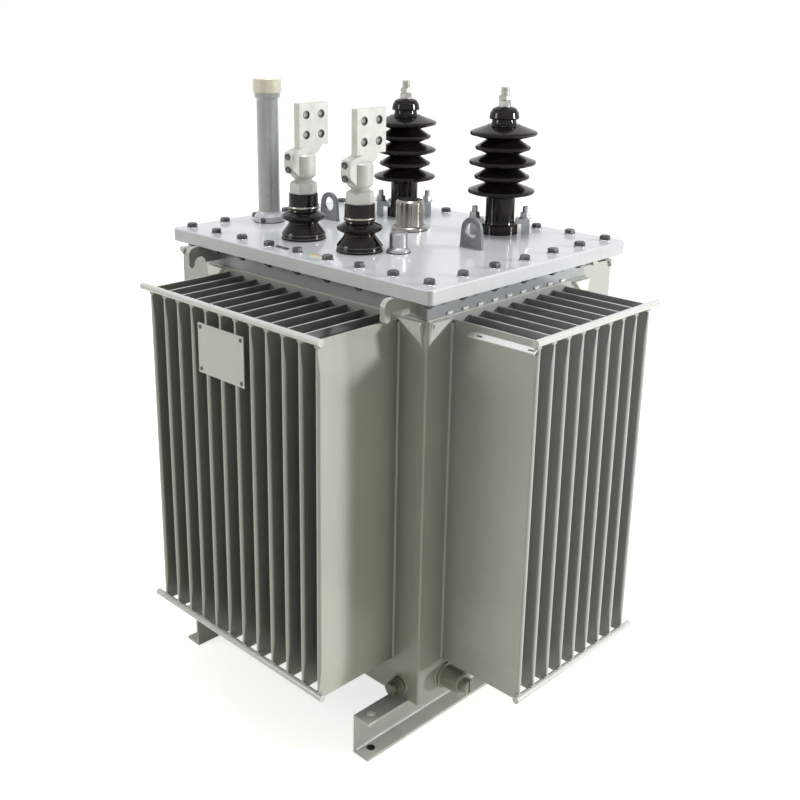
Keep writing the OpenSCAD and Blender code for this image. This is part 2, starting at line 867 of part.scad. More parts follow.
// Bent rail on the pressed seam of the first side fin, strip sloping outwards
module plate_rail() {
  seam_y = -side_span / 2 - seam_t / 2;
  rail_x = half_w + side_depth - rail_t;
  rail_z = fin_top - seam_h;
  leg_h = rail_t + 3;
  color(pale)
    translate([rail_x - rail_len, seam_y, rail_z])
      rotate([90, 0, 90])
        linear_extrude(rail_len)
          polygon([[0, 0], [0, leg_h], [-1, leg_h], [-rail_out, leg_h - rail_fall],
            [-rail_out + 1, leg_h - rail_fall - rail_t], [-rail_t, leg_h - rail_t - 1], [-rail_t, 0]]);
}

base_channel_left();
base_channel_right();
tank_floor();
front_fin_wall();
back_fin_wall();
left_fin_wall();
right_fin_wall();
corner_posts();
corner_gussets();
top_rim();
lid_gasket();
lid();
front_tie_rods();
back_tie_rods();
left_tie_rods();
right_tie_rods();
gauge_base();
gauge_tube();
gauge_cap();
lv_bushing_a();
lv_bushing_b();
lv_nut_a();
lv_nut_b();
lv_connector_a();
lv_connector_b();
hv_bushing_a();
hv_bushing_b();
hv_terminal_a();
hv_terminal_b();
hv_clamps_a();
hv_clamps_b();
relief_valve_body();
relief_valve_base();
thermometer_pocket();
lifting_lug_left();
lifting_lug_right();
tank_hooks();
drain_valve();
earth_boss();
front_plate();
plate_rail();
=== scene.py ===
"""Looks of an oil filled power transformer: finishes, fasteners, weld beads, studio and camera."""

import json
import logging
import math
from dataclasses import dataclass
from enum import Enum
from typing import Any, Dict, List, Optional, Sequence, Tuple, Union

import bpy
import numpy as np
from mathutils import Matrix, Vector


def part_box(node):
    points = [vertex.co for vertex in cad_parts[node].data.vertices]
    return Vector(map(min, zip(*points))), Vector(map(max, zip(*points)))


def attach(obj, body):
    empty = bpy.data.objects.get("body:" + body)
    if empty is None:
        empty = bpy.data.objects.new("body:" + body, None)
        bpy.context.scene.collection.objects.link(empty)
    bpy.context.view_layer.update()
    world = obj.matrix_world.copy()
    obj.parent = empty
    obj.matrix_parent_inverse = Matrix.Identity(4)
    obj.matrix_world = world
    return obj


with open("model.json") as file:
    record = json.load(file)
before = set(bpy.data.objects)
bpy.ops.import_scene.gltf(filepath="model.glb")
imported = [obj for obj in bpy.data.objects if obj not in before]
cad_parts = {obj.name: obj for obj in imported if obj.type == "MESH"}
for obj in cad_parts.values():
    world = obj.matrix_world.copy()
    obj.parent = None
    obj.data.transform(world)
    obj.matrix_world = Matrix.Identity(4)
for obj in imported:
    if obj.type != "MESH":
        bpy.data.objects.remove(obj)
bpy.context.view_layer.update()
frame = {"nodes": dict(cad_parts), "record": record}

LOG = logging.getLogger("transformer")
MM = 0.001
TAU = 2.0 * math.pi
X, Y, Z = 0, 1, 2
Pair = Tuple[float, float]
Point = Tuple[float, float, float]
Colour = Tuple[float, float, float]
Profile = Sequence[Pair]
Sockets = Dict[Union[int, str], Any]
BLACK: Colour = (0.0, 0.0, 0.0)
WHITE: Colour = (1.0, 1.0, 1.0)


class Axis(Enum):
    """Directions in which a turned or hexagonal piece can point."""

    UP = (0.0, 0.0, 1.0)
    DOWN = (0.0, 0.0, -1.0)
    RIGHT = (1.0, 0.0, 0.0)
    FRONT = (0.0, -1.0, 0.0)
    BACK = (0.0, 1.0, 0.0)


class Edge(Enum):
    """Angle in degrees above which an edge of a piece stays sharp."""

    HEXAGON = 30.0
    PLAIN = 38.0
    RING = 60.0
    BEAD = 80.0


class Slot(Enum):
    """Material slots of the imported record."""

    TANK = "tank_paint"
    LID = "lid_paint"
    LUG = "lug_paint"
    GAUGE = "gauge_paint"
    PLATE = "plate_paint"
    GASKET = "gasket_rubber"
    PORCELAIN = "porcelain"
    TINNED = "tinned"
    ZINC = "zinc"
    RELIEF = "relief_chrome"
    CAP = "cap_plastic"


class Sock:
    """A shader socket that takes part in Python arithmetic."""

    def __init__(self, graph: "Graph", socket: Optional[bpy.types.NodeSocket]) -> None:
        """Keeps the socket and the graph that new Math nodes go to."""
        self.graph = graph
        self.socket = socket

    def _math(self, operation: str, first: Any, second: Any) -> "Sock":
        """Adds one Math node.

        Args:
            operation: name of the Math operation.
            first: first operand, a Sock or a number.
            second: second operand, a Sock or a number.

        Returns:
            The node's value.
        """
        return self.graph.make("ShaderNodeMath", {"operation": operation}, {0: first, 1: second})

    def __add__(self, other: Any) -> "Sock":
        """Sum."""
        return self._math("ADD", self, other)

    def __radd__(self, other: Any) -> "Sock":
        """Sum with the socket on the right."""
        return self._math("ADD", other, self)

    def __sub__(self, other: Any) -> "Sock":
        """Difference."""
        return self._math("SUBTRACT", self, other)

    def __rsub__(self, other: Any) -> "Sock":
        """Difference with the socket on the right."""
        return self._math("SUBTRACT", other, self)

    def __mul__(self, other: Any) -> "Sock":
        """Product."""
        return self._math("MULTIPLY", self, other)

    def __rmul__(self, other: Any) -> "Sock":
        """Product with the socket on the right."""
        return self._math("MULTIPLY", other, self)

    def between(self, low: float, high: float) -> "Sock":
        """Ramps from 0 at low to 1 at high, held at both ends.

        Args:
            low: value that gives 0.
            high: value that gives 1.

        Returns:
            The ramped value.
        """
        return self.graph.make(
            "ShaderNodeMapRange", {"clamp": True}, {"Value": self, "From Min": low, "From Max": high}
        )


class Graph:
    """Node tree of a material or of the world, with the few calls that finishes and studio need."""

    def __init__(self, owner: Union[bpy.types.Material, bpy.types.World]) -> None:
        """Empties the owner's node tree.

        Args:
            owner: material or world whose tree is filled.
        """
        owner.use_nodes = True
        self.owner = owner
        self.tree = owner.node_tree
        self.tree.nodes.clear()
        self._place: Optional[Sock] = None

    def make(self, kind: str, settings: Dict[str, Any], sockets: Sockets, out: Union[int, str] = 0) -> Sock:
        """Makes any node.

        Args:
            kind: Blender's node type.
            settings: properties that are set first.
            sockets: values or links by input name or number.
            out: name or number of the output that is returned.

        Returns:
            The chosen output, empty for a node that has none.
        """
        node = self.tree.nodes.new(kind)
        for key, value in settings.items():
            setattr(node, key, value)
        for key, value in sockets.items():
            entry = node.inputs[key]
            if isinstance(value, Sock):
                self.tree.links.new(value.socket, entry)
            elif entry.type == "RGBA":
                entry.default_value = (*value, 1.0)
            else:
                entry.default_value = value
        return Sock(self, node.outputs[out] if len(node.outputs) else None)

    def place(self) -> Sock:
        """Object coordinates in metres.

        Returns:
            The coordinates, from one node for the whole tree.
        """
        if self._place is None:
            self._place = self.make("ShaderNodeTexCoord", {}, {}, "Object")
        return self._place

    def stretched(self, scale: Point) -> Sock:
        """Object coordinates scaled by axis."""
        return self.make("ShaderNodeMapping", {}, {"Vector": self.place(), "Scale": scale})

    def along(self, axis: int) -> Sock:
        """One object coordinate: X, Y or Z."""
        return self.make("ShaderNodeSeparateXYZ", {}, {0: self.place()}, axis)

    def noise(self, per_metre: float, detail: float = 2.0, vector: Optional[Sock] = None) -> Sock:
        """Cloudy noise.

        Args:
            per_metre: number of features along a metre.
            detail: octaves of finer noise.
            vector: coordinates to read, the object's own if left out.

        Returns:
            A value around 0.5.
        """
        where = vector if vector is not None else self.place()
        return self.make("ShaderNodeTexNoise", {}, {"Vector": where, "Scale": per_metre, "Detail": detail})

    def recess(self, reach: float, shallow: float = 0.12, deep: float = 0.55) -> Sock:
        """Depth of a recess in the piece itself, from its own ambient occlusion; it masks painted shade.

        Args:
            reach: how far a wall counts as near, in metres.
            shallow: hidden share of the view from a point that still counts as open.
            deep: hidden share that counts as fully recessed.

        Returns:
            0 on open faces, 1 deep between near walls.
        """
        settings = {"samples": 6, "only_local": True}
        open_share = self.make("ShaderNodeAmbientOcclusion", settings, {"Distance": reach}, "AO")
        return (1.0 - open_share).between(shallow, deep)

    def blend(self, factor: Any, first: Any, second: Any) -> Sock:
        """Mixes two colours; inputs 6 and 7 and output 2 are the colour sockets of the node.

        Args:
            factor: share of the second colour.
            first: colour or link.
            second: colour or link.

        Returns:
            The mixed colour.
        """
        return self.make("ShaderNodeMix", {"data_type": "RGBA"}, {0: factor, 6: first, 7: second}, 2)

    def bump(self, height: Sock, depth: float, strength: float, under: Optional[Sock] = None) -> Sock:
        """Raises a surface by a height pattern.

        Args:
            height: pattern around 0.5.
            depth: height in metres of a full step.
            strength: share of the effect.
            under: normal of another bump below this one.

        Returns:
            The bumped normal.
        """
        sockets: Sockets = {"Strength": strength, "Distance": depth, "Height": height}
        if under is not None:
            sockets["Normal"] = under
        return self.make("ShaderNodeBump", {}, sockets)

    def surface(self, sockets: Sockets) -> bpy.types.Material:
        """Closes the tree with a Principled shader.

        Args:
            sockets: values or links of the shader.

        Returns:
            The finished material.
        """
        shader = self.make("ShaderNodeBsdfPrincipled", {}, sockets)
        self.make("ShaderNodeOutputMaterial", {}, {"Surface": shader})
        return self.owner


@dataclass(frozen=True)
class Finish:
    """A finish with a name, a colour and a roughness; each kind builds its own nodes."""

    name: str
    colour: Colour
    roughness: float

    def build(self) -> bpy.types.Material:
        """Makes the material once and returns it after that."""
        found = bpy.data.materials.get(self.name)
        return found if found is not None else self.nodes(Graph(bpy.data.materials.new(self.name)))

    def nodes(self, graph: Graph) -> bpy.types.Material:
        """Fills the node tree.

        Args:
            graph: tree to fill.

        Returns:
            The finished material.
        """
        raise NotImplementedError

    def shaded(self, factor: float) -> Colour:
        """The finish's colour times a factor."""
        return (self.colour[0] * factor, self.colour[1] * factor, self.colour[2] * factor)

    def uneven(self, pattern: Sock, swing: float) -> Sock:
        """The finish's roughness with a pattern around 0.5 swinging it up and down."""
        return self.roughness + (pattern - 0.5) * swing


@dataclass(frozen=True)
class SatinPaint(Finish):
    """Sprayed satin coat: clouds, runs, specks, orange peel, dust near the ground, painted shade in recesses.
    """

    cloud_shades: Pair = (0.94, 1.05)
    run_stretch: Point = (46.0, 46.0, 2.2)
    run_share: float = 0.35
    run_shade: float = 0.9
    speck_share: float = 0.18
    speck_shade: float = 0.72
    dust: Colour = (0.36, 0.34, 0.28)
    dust_share: float = 0.35
    dust_height: float = 0.22
    # Colour, share and reach of the painted shade in recesses.
    recess_shade: Colour = (0.052, 0.058, 0.061)
    recess_shade_share: float = 0.0
    recess_shade_reach: float = 0.07
    peel: float = 0.06 * MM
    wave: float = 1.2 * MM
    coat: float = 0.12
    coat_roughness: float = 0.18

    def nodes(self, graph: Graph) -> bpy.types.Material:
        """Fills the node tree with clouds, runs, specks, dust, painted recess shade, peel and waves.

        Args:
            graph: tree to fill.

        Returns:
            The finished material.
        """
        clouds = graph.noise(3.5, 3.0).between(0.3, 0.7)
        runs = graph.noise(1.0, 3.0, graph.stretched(self.run_stretch)).between(0.45, 0.75)
        specks = graph.noise(420.0).between(0.66, 0.74)
        tone = graph.blend(clouds, self.shaded(self.cloud_shades[0]), self.shaded(self.cloud_shades[1]))
        tone = graph.blend(runs * self.run_share, tone, self.shaded(self.run_shade))
        tone = graph.blend(specks * self.speck_share, tone, self.shaded(self.speck_shade))
        low = 1.0 - graph.along(Z).between(0.0, self.dust_height)
        film = low * graph.noise(26.0, 4.0).between(0.35, 0.7) * self.dust_share
        tone = graph.blend(film, tone, self.dust)
        # Painted shade: the colour darkens where the piece hides its own view, between fins and in corners.
        if self.recess_shade_share > 0.0:
            tone = graph.blend(graph.recess(self.recess_shade_reach) * self.recess_shade_share, tone, self.recess_shade)
        rough = self.uneven(graph.noise(38.0, 3.0), 0.14) + film * 0.3
        peel = graph.bump(graph.noise(520.0, 1.0), self.peel, 0.6)
        waves = graph.bump(graph.noise(9.0, 1.0), self.wave, 0.25, peel)
        return graph.surface(
            {"Base Color": tone, "Roughness": rough, "Normal": waves, "Coat Weight": self.coat,
             "Coat Roughness": self.coat_roughness, "IOR": 1.5}
        )


@dataclass(frozen=True)
class Porcelain(Finish):
    """Brown glazed porcelain: dark body under a clear glaze with faint waves and pinholes."""

    glaze: Colour = (0.05, 0.028, 0.018)
    drift_share: float = 0.4
    pin_share: float = 0.3
    wave: float = 0.25 * MM
    shine: float = 0.24

    def nodes(self, graph: Graph) -> bpy.types.Material:
        """Fills the node tree with glaze drifts, pinholes and waves.

        Args:
            graph: tree to fill.

        Returns:
            The finished material.
        """
        drift = graph.noise(18.0, 3.0, graph.stretched((1.0, 1.0, 3.0))).between(0.45, 0.8)
        pins = graph.noise(650.0, 1.0).between(0.7, 0.76)
        tone = graph.blend(drift * self.drift_share, self.colour, self.glaze)
        tone = graph.blend(pins * self.pin_share, tone, self.glaze)
        rough = self.uneven(graph.noise(60.0), 0.06) + pins * 0.2
        normal = graph.bump(graph.noise(75.0), self.wave, 0.35)
        return graph.surface(
            {"Base Color": tone, "Roughness": rough, "Normal": normal, "Specular IOR Level": self.shine}
        )


@dataclass(frozen=True)
class CastMetal(Finish):
    """Cast or plated metal: grain, tarnish drifts and fine scratches."""

    metallic: float = 0.6
    tarnish: float = 0.8
    polish: float = 1.06
    scratch: Point = (30.0, 30.0, 400.0)
    scratch_share: float = 0.3
    grain: float = 0.05 * MM

    def nodes(self, graph: Graph) -> bpy.types.Material:
        """Fills the node tree with tarnish, scratches and grain.

        Args:
            graph: tree to fill.

        Returns:
            The finished material.
        """
        drift = graph.noise(40.0, 4.0)
        lines = graph.noise(6.0, 2.0, graph.stretched(self.scratch))
        dull = self.shaded(self.tarnish)
        tone = graph.blend(drift.between(0.35, 0.7), dull, self.shaded(self.polish))
        tone = graph.blend(lines.between(0.55, 0.75) * self.scratch_share, tone, dull)
        rough = self.uneven(drift, 0.2) + (lines - 0.5) * 0.16
        normal = graph.bump(graph.noise(900.0), self.grain, 0.6)
        return graph.surface(
            {"Base Color": tone, "Roughness": rough, "Normal": normal, "Metallic": self.metallic}
        )


@dataclass(frozen=True)
class Moulded(Finish):
    """Moulded plastic or rubber: fine grain and slight unevenness of tone."""

    mottle_shades: Pair = (0.92, 1.05)
    grain: float = 0.1 * MM
    translucent: float = 0.0
    light_reach: float = 4.0 * MM

    def nodes(self, graph: Graph) -> bpy.types.Material:
        """Fills the node tree with mottling and grain.

        Args:
            graph: tree to fill.

        Returns:
            The finished material.
        """
        mottle = graph.noise(55.0, 3.0).between(0.3, 0.7)
        tone = graph.blend(mottle, self.shaded(self.mottle_shades[0]), self.shaded(self.mottle_shades[1]))
        rough = self.uneven(graph.noise(240.0), 0.2)
        normal = graph.bump(graph.noise(700.0), self.grain, 0.5)
        return graph.surface(
            {"Base Color": tone, "Roughness": rough, "Normal": normal,
             "Subsurface Weight": self.translucent, "Subsurface Scale": self.light_reach}
        )


# The tank and side fin paints darken in their recesses as painted shade, bluish on the side fin walls.
TANK_PAINT = SatinPaint("tank_satin_grey", (0.443, 0.445, 0.402), 0.36, recess_shade_share=0.66)
SIDE_FIN_PAINT = SatinPaint(
    "side_fin_satin_grey", (0.437, 0.445, 0.415), 0.36, recess_shade=(0.085, 0.098, 0.112), recess_shade_share=0.42
)
LID_PAINT = SatinPaint("lid_satin_grey", (0.53, 0.54, 0.555), 0.34, coat=0.5, coat_roughness=0.1)
LUG_PAINT = SatinPaint("lug_slate_grey", (0.22, 0.235, 0.25), 0.36)
GAUGE_PAINT = SatinPaint("gauge_pale_grey", (0.38, 0.395, 0.38), 0.26, coat=0.8, coat_roughness=0.16)
PLATE_PAINT = SatinPaint("plate_pale_grey", (0.56, 0.575, 0.54), 0.34)
# A pale copy of the tank paint, a painted highlight on the plate rail, the ledge beads and the channel
# fillets.
HIGHLIGHT_PAINT = SatinPaint("painted_highlight_grey", (0.80, 0.81, 0.78), 0.24, coat=0.4, coat_roughness=0.1)
# A paler copy of the tank paint on the tie rods: painted light for the highlights along them.
ROD_LIT_PAINT = SatinPaint("rod_painted_light_grey", (0.58, 0.588, 0.55), 0.26, coat=0.5, coat_roughness=0.12)
# A paler copy of the tank paint on the corner gussets: painted light for the light they catch.
GUSSET_LIT_PAINT = SatinPaint("gusset_painted_light_grey", (0.66, 0.665, 0.635), 0.26, coat=0.4, coat_roughness=0.12)
# A darker copy of the tank paint on the top rim: painted shade under the lid's edge.
RIM_SHADED_PAINT = SatinPaint("rim_painted_shade_grey", (0.32, 0.34, 0.345), 0.34)
# A paler copy of the tank paint on the right channel only: painted light, while the left channel keeps the
# tank paint.
CHANNEL_LIT_PAINT = SatinPaint("channel_painted_light_grey", (0.54, 0.55, 0.51), 0.36)
DRAIN_PAINT = SatinPaint("drain_olive_grey", (0.27, 0.275, 0.22), 0.34, coat=0.2)
OLIVE = SatinPaint("olive_sprayed_fitting", (0.14, 0.145, 0.10), 0.3, coat=0.2)
GLAZE = Porcelain("brown_glaze", (0.007, 0.006, 0.0056), 0.09)
# A lighter copy of the brown glaze on the skirt rings: painted highlight along them.
RING_HIGHLIGHT_GLAZE = Porcelain("ring_painted_highlight_glaze", (0.085, 0.08, 0.078), 0.2, glaze=(0.05, 0.045, 0.042))
TIN = CastMetal(
    "tinned_casting", (0.57, 0.56, 0.52), 0.46, metallic=0.2, tarnish=0.88, scratch=(9.0, 9.0, 30.0)
)
ZINC = CastMetal("zinc_plate", (0.46, 0.475, 0.485), 0.34, metallic=0.7, scratch=(12.0, 12.0, 40.0))
CHROME = CastMetal("relief_satin_chrome", (0.34, 0.325, 0.29), 0.24, metallic=0.95, scratch=(14.0, 14.0, 6.0))
STUD = CastMetal("stud_bright_steel", (0.42, 0.42, 0.39), 0.46, metallic=0.8, scratch=(14.0, 14.0, 50.0))
BRASS = CastMetal(
    "brass_tab", (0.66, 0.55, 0.34), 0.34, metallic=0.7, tarnish=0.85, scratch=(20.0, 20.0, 20.0)
)
BLACKED = CastMetal("blacked_bolt_steel", (0.085, 0.088, 0.092), 0.42, metallic=0.55)
GASKET = Moulded("gasket_rubber_black", (0.02, 0.02, 0.02), 0.7)
CAP = Moulded("cap_cream_plastic", (0.80, 0.74, 0.60), 0.4, translucent=0.15)

BY_SLOT: Dict[Slot, Finish] = {
    Slot.TANK: TANK_PAINT, Slot.LID: LID_PAINT, Slot.LUG: LUG_PAINT, Slot.GAUGE: GAUGE_PAINT,
    Slot.PLATE: PLATE_PAINT, Slot.GASKET: GASKET, Slot.PORCELAIN: GLAZE, Slot.TINNED: TIN,
    Slot.ZINC: ZINC, Slot.RELIEF: CHROME, Slot.CAP: CAP,
}

# Lit and shaded copies of the tank paint are given here by node, as painted light and painted shade.
BY_NODE: Dict[str, Finish] = {
    "corner_gussets": GUSSET_LIT_PAINT, "plate_rail": HIGHLIGHT_PAINT, "top_rim": RIM_SHADED_PAINT,
    "earth_boss": OLIVE, "drain_valve": DRAIN_PAINT, "base_channel_right": CHANNEL_LIT_PAINT,
    "hv_terminal_a": STUD, "hv_terminal_b": STUD,
    "left_fin_wall": SIDE_FIN_PAINT, "right_fin_wall": SIDE_FIN_PAINT,
    "front_tie_rods": ROD_LIT_PAINT, "back_tie_rods": ROD_LIT_PAINT,
    "left_tie_rods": ROD_LIT_PAINT, "right_tie_rods": ROD_LIT_PAINT,
}


def dress_nodes() -> None:
    """Gives every CAD node its own finish, or else the finish of its record slot."""
    for row in frame["record"]["subparts"]:
        node = frame["nodes"][row["node"]]
        finish = BY_NODE.get(row["node"], BY_SLOT[Slot(row["material_slot"])])
        node.data.materials.clear()
        node.data.materials.append(finish.build())
        LOG.info("dressed %s with %s", row["node"], finish.name)


@dataclass
class Shell:
    """Closed surface: corners as an array in metres, faces as tuples of corner numbers."""

    verts: np.ndarray
    faces: List[Tuple[int, ...]]

    @staticmethod
    def loft(rings: np.ndarray, closed: bool = False) -> "Shell":
        """Joins rings of points into a closed skin.

        Row i, column j of the array is the point at step i along the path and step j around it; each
        quad spans two neighbours in both directions. An open path ends in two flat faces, a closed one
        runs on from the last ring to the first.

        Args:
            rings: points as steps by columns by three, turning with the right hand along the path.
            closed: whether the path closes on itself.

        Returns:
            The closed shell.
        """
        m, n, _ = rings.shape
        index = np.arange(m * n).reshape(m, n)
        rows = np.concatenate([index, index[:1]]) if closed else index
        turned = np.roll(rows, -1, axis=1)
        quads = np.stack([rows[:-1], turned[:-1], turned[1:], rows[1:]], axis=-1).reshape(-1, 4)
        ends = [] if closed else [tuple(index[0, ::-1].tolist()), tuple(index[-1].tolist())]
        return Shell(rings.reshape(-1, 3), [tuple(q) for q in quads.tolist()] + ends)

    @staticmethod
    def eyelet(section: Profile, sides: int = 28) -> "Shell":
        """Sweeps a closed section around Z, which leaves a hole in the middle.

        The point of section corner j at angle t is (r cos t, r sin t, z).

        Args:
            section: radius and height of each corner in millimetres, turning with the left hand.
            sides: steps around.

        Returns:
            The closed shell.
        """
        t = (np.arange(sides) * TAU / sides)[:, None]
        p = np.asarray(section)[None] * MM
        height = np.broadcast_to(p[..., 1], (sides, p.shape[1]))
        return Shell.loft(np.stack([p[..., 0] * np.cos(t), p[..., 0] * np.sin(t), height], axis=-1), True)

    @staticmethod
    def turned(profile: Profile, sides: int = 24, flats: int = 0) -> "Shell":
        """Turns a profile about Z.

        The point of row i at angle t is (r cos t, r sin t, z) with (r, z) from the profile. With flats,
        a row whose radius is negative follows a polygon instead: r is the apothem over the cosine of the
        angle to the nearest flat.

        Args:
            profile: radius and height in millimetres from bottom to top.
            sides: columns around.
            flats: number of polygon sides, 0 for none.

        Returns:
            The closed shell.
        """
        t = np.arange(sides) * TAU / sides
        p = np.asarray(profile) * MM
        r = np.repeat(np.abs(p[:, :1]), sides, axis=1)
        if flats:
            step = TAU / flats
            r = np.where(p[:, :1] < 0.0, r / np.cos(np.mod(t, step) - step / 2.0), r)
        rings = np.stack([r * np.cos(t), r * np.sin(t), np.repeat(p[:, 1:], sides, axis=1)], axis=-1)
        return Shell.loft(rings)

    @staticmethod
    def bead(
        path: np.ndarray, up: np.ndarray, size: Pair, closed: bool = False, ripple: float = 0.2
    ) -> "Shell":
        """Lays a weld bead or a smooth moulding along a path.

        The section at each step is a low half round: across by half the width times cos t, up by the
        height times the greater of sin t and -0.3; both swell and shrink along the path by a sine of
        6 mm pitch and by small random steps.

        Args:
            path: points in metres.
            up: outward direction at each point, or one for all.
            size: width and height of the bead.
            closed: whether the path closes on itself.
            ripple: share of the swelling, 0 for a smooth moulding.

        Returns:
            The closed shell.
        """
        pitch, root, unrest, sides = 6.0 * MM, 0.3, 0.6, 8
        path = np.asarray(path, float)
        ahead, behind = np.roll(path, -1, axis=0), np.roll(path, 1, axis=0)
        tangent = ahead - behind if closed else np.gradient(path, axis=0)
        tangent /= np.linalg.norm(tangent, axis=1, keepdims=True)
        up = np.broadcast_to(np.asarray(up, float), path.shape)
        side = np.cross(up, tangent)
        side /= np.linalg.norm(side, axis=1, keepdims=True)
        run = np.concatenate([[0.0], np.cumsum(np.linalg.norm(np.diff(path, axis=0), axis=1))])
        chance = np.random.default_rng(len(path)).uniform(-unrest, unrest, len(path)) * ripple
        swell = (1.0 + ripple * np.sin(TAU * run / pitch) + chance)[:, None, None]
        t = np.arange(sides) * TAU / sides
        across = np.cos(t)[None, :, None] * size[0] / 2.0 * side[:, None, :]
        raised = np.maximum(np.sin(t), -root)[None, :, None] * size[1] * up[:, None, :]
        return Shell.loft(path[:, None, :] + swell * (raised - across)[:, ::-1, :], closed)

    def placed(self, spots: np.ndarray, axis: Axis = Axis.UP, spin: float = 0.0) -> "Shell":
        """Copies the shell to many places, its Z turned to an axis.

        Args:
            spots: places in metres, one row each.
            axis: direction that the shell's Z takes.
            spin: turn about its own Z in radians.

        Returns:
            One shell with all the copies.
        """
        turn = Vector(Axis.UP.value).rotation_difference(Vector(axis.value)).to_matrix()
        c, s = math.cos(spin), math.sin(spin)
        spun = self.verts @ np.array([[c, s, 0.0], [-s, c, 0.0], [0.0, 0.0, 1.0]])
        spots = np.atleast_2d(np.asarray(spots, float))
        verts = (spun @ np.array(turn).T)[None] + spots[:, None, :]
        n = len(self.verts)
        faces = [tuple(v + k * n for v in f) for k in range(len(spots)) for f in self.faces]
        return Shell(verts.reshape(-1, 3), faces)

    @staticmethod
    def join(shells: Sequence["Shell"]) -> "Shell":
        """Puts several shells into one.

        Args:
            shells: the shells in order.

        Returns:
            One shell with all their corners and faces.
        """
        starts = np.concatenate([[0], np.cumsum([len(s.verts) for s in shells])]).tolist()
        faces = [tuple(v + k for v in f) for s, k in zip(shells, starts) for f in s.faces]
        return Shell(np.concatenate([s.verts for s in shells]), faces)


def add_piece(name: str, shell: Shell, finish: Finish, edge: Edge = Edge.PLAIN) -> None:
    """Makes a scene object of a shell and ties it to the one body.

    Args:
        name: name of the piece.
        shell: its surface in metres.
        finish: its finish.
        edge: which of its edges stay sharp.
    """
    mesh = bpy.data.meshes.new(name)
    mesh.from_pydata(shell.verts.tolist(), [], shell.faces)
    mesh.polygons.foreach_set("use_smooth", np.ones(len(mesh.polygons), bool))
    mesh.set_sharp_from_angle(angle=math.radians(edge.value))
    mesh.materials.append(finish.build())
    piece = bpy.data.objects.new(name, mesh)
    bpy.context.scene.collection.objects.link(piece)
    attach(piece, "root")
    LOG.info("built %s: %d faces", name, len(mesh.polygons))


def node_box(name: str) -> Tuple[np.ndarray, np.ndarray]:
    """Low and high corner of a CAD node in metres."""
    low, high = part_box(name)
    return np.array(low), np.array(high)


def middle(name: str) -> np.ndarray:
    """Centre of a CAD node's box."""
    low, high = node_box(name)
    return (low + high) / 2.0


def foot(name: str) -> np.ndarray:
    """Centre of the lower face of a CAD node's box."""
    return np.array([*middle(name)[:Z], node_box(name)[0][Z]])


def unit(direction: Sequence[float]) -> np.ndarray:
    """The direction at length 1."""
    return np.asarray(direction) / np.linalg.norm(direction)


def ring_path(half_x: float, half_y: float, z: float, step: float) -> np.ndarray:
    """Points around a rectangle that is centred on the origin.

    Args:
        half_x: half its length.
        half_y: half its width.
        z: its height.
        step: distance between points.

    Returns:
        Points from one corner around to the step before it.
    """
    signs = np.array([[-1.0, -1.0], [1.0, -1.0], [1.0, 1.0], [-1.0, 1.0], [-1.0, -1.0]])
    corners = signs * (half_x, half_y)
    sides = [np.linspace(a, b, max(2, int(np.hypot(*(b - a)) / step)), endpoint=False)
             for a, b in zip(corners[:-1], corners[1:])]
    flat = np.concatenate(sides)
    return np.column_stack([flat, np.full(len(flat), z)])


def circle_path(centre: np.ndarray, radius: float, first: Axis, second: Axis, steps: int = 64) -> np.ndarray:
    """Points on a circle: the centre plus the radius times cos t of one axis and sin t of the other."""
    t = np.linspace(0.0, TAU, steps, endpoint=False)[:, None]
    return centre + radius * (np.cos(t) * np.array(first.value) + np.sin(t) * np.array(second.value))


@dataclass(frozen=True)
class Ring:
    """Smooth half round moulding around an upright cylinder, at a height above its foot."""

    height: float
    radius: float
    size: Pair

    def around(self, base: np.ndarray) -> Shell:
        """Bends the moulding's half round section around the cylinder.

        Args:
            base: centre of the cylinder's foot.

        Returns:
            The closed ring.
        """
        centre = base + (0.0, 0.0, self.height)
        path = circle_path(centre, self.radius, Axis.RIGHT, Axis.BACK)
        return Shell.bead(path, (path - centre) / self.radius, self.size, True, 0.0)


